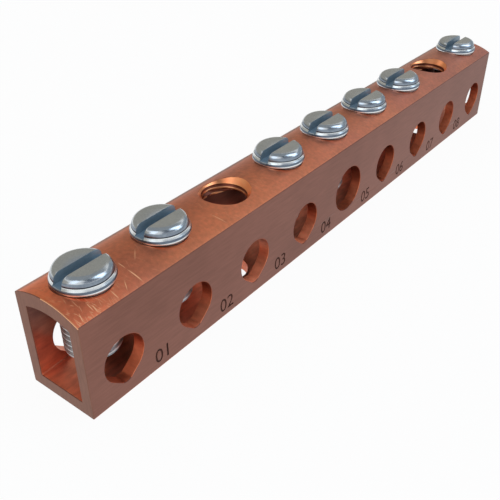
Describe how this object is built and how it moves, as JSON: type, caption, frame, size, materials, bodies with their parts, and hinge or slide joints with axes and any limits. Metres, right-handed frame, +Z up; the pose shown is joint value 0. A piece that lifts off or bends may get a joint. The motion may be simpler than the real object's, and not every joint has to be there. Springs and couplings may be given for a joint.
{
  "type": "ground bar",
  "caption": "Hollow copper ground bar with a domed top, side wire ports and slotted zinc clamp screws.",
  "frame": {"origin": "middle of the flat underside", "axes": "+X along the bar, +Z up out of the domed top, -Y out of the side the picture shows"},
  "size_m": [0.113, 0.0108, 0.0171],
  "materials": {
    "copper": "fine brushed, bare copper",
    "zinc_steel": "zinc-plated steel"
  },
  "bodies": {
    "bar": {"ground_bar": "copper"},
    "screw_1": {"clamp_screw_1": "zinc_steel"},
    "screw_2": {"clamp_screw_2": "zinc_steel"},
    "screw_4": {"clamp_screw_4": "zinc_steel"},
    "screw_5": {"clamp_screw_5": "zinc_steel"},
    "screw_6": {"clamp_screw_6": "zinc_steel"},
    "screw_7": {"clamp_screw_7": "zinc_steel"},
    "screw_9": {"clamp_screw_9": "zinc_steel"}
  },
  "joints": [
    {"name": "screw_travel_1", "type": "slide", "parent": "bar", "child": "screw_1", "axis": [0, 0, 1], "range_m": [0, 0.008]},
    {"name": "screw_travel_2", "type": "slide", "parent": "bar", "child": "screw_2", "axis": [0, 0, 1], "range_m": [0, 0.008]},
    {"name": "screw_travel_4", "type": "slide", "parent": "bar", "child": "screw_4", "axis": [0, 0, 1], "range_m": [0, 0.008]},
    {"name": "screw_travel_5", "type": "slide", "parent": "bar", "child": "screw_5", "axis": [0, 0, 1], "range_m": [0, 0.008]},
    {"name": "screw_travel_6", "type": "slide", "parent": "bar", "child": "screw_6", "axis": [0, 0, 1], "range_m": [0, 0.008]},
    {"name": "screw_travel_7", "type": "slide", "parent": "bar", "child": "screw_7", "axis": [0, 0, 1], "range_m": [0, 0.008]},
    {"name": "screw_travel_9", "type": "slide", "parent": "bar", "child": "screw_9", "axis": [0, 0, 1], "range_m": [0, 0.008]}
  ]
}
